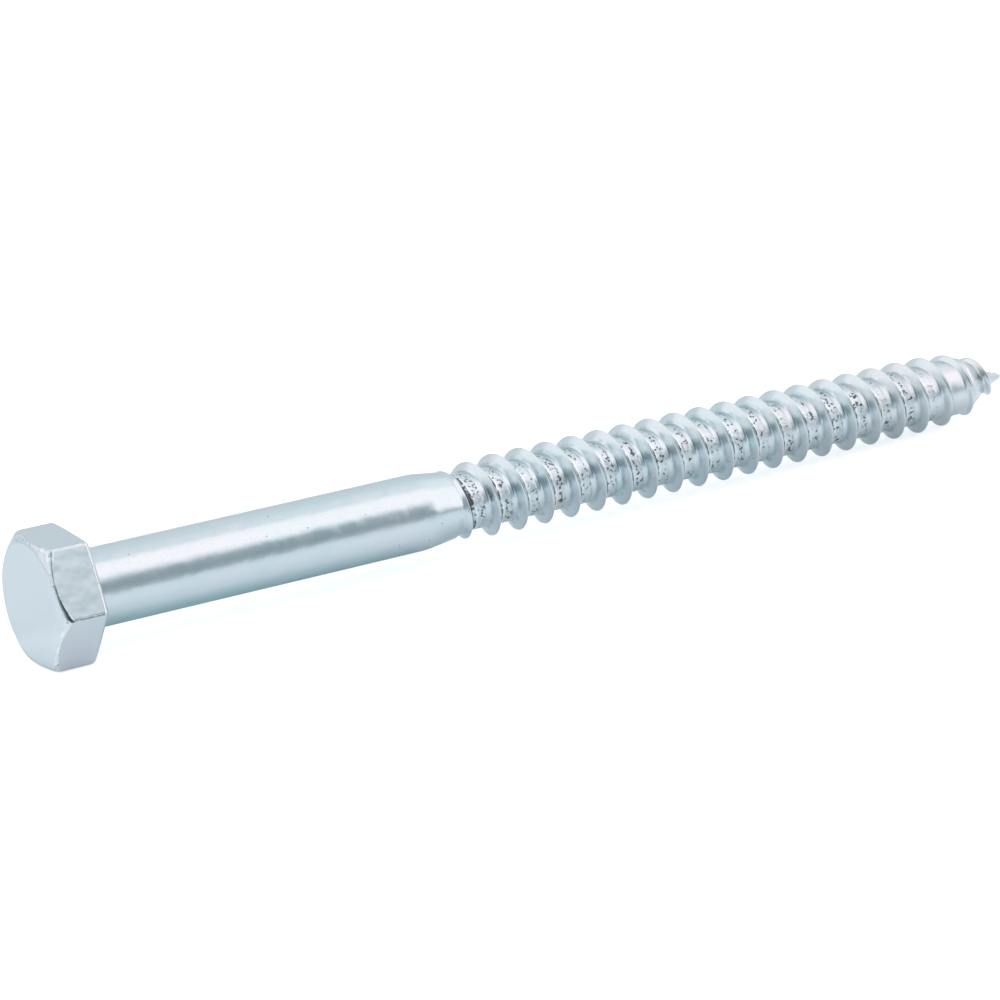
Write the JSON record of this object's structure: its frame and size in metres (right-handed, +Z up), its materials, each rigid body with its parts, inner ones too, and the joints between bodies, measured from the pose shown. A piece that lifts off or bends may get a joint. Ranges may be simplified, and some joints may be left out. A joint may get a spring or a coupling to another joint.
{
  "type": "coach screw",
  "caption": "Hex-head coach screw with a plain shank, a coarse right-hand wood thread and a gimlet point, bright zinc plated steel.",
  "frame": {"origin": "centre of the bearing face under the head, on the screw's axis", "axes": "+Z up from the level surface that the screw lies on. +X level, from the head towards the point, in the upright plane through the screw's axis. The axis leans 1.29 degrees down from +X, because the head is wider than the thread."},
  "size_m": [0.1346, 0.0166, 0.0144],
  "materials": {
    "zinc_plated_steel": "bright zinc plating"
  },
  "bodies": {
    "root": {"coach_screw": "zinc_plated_steel"}
  },
  "joints": []
}
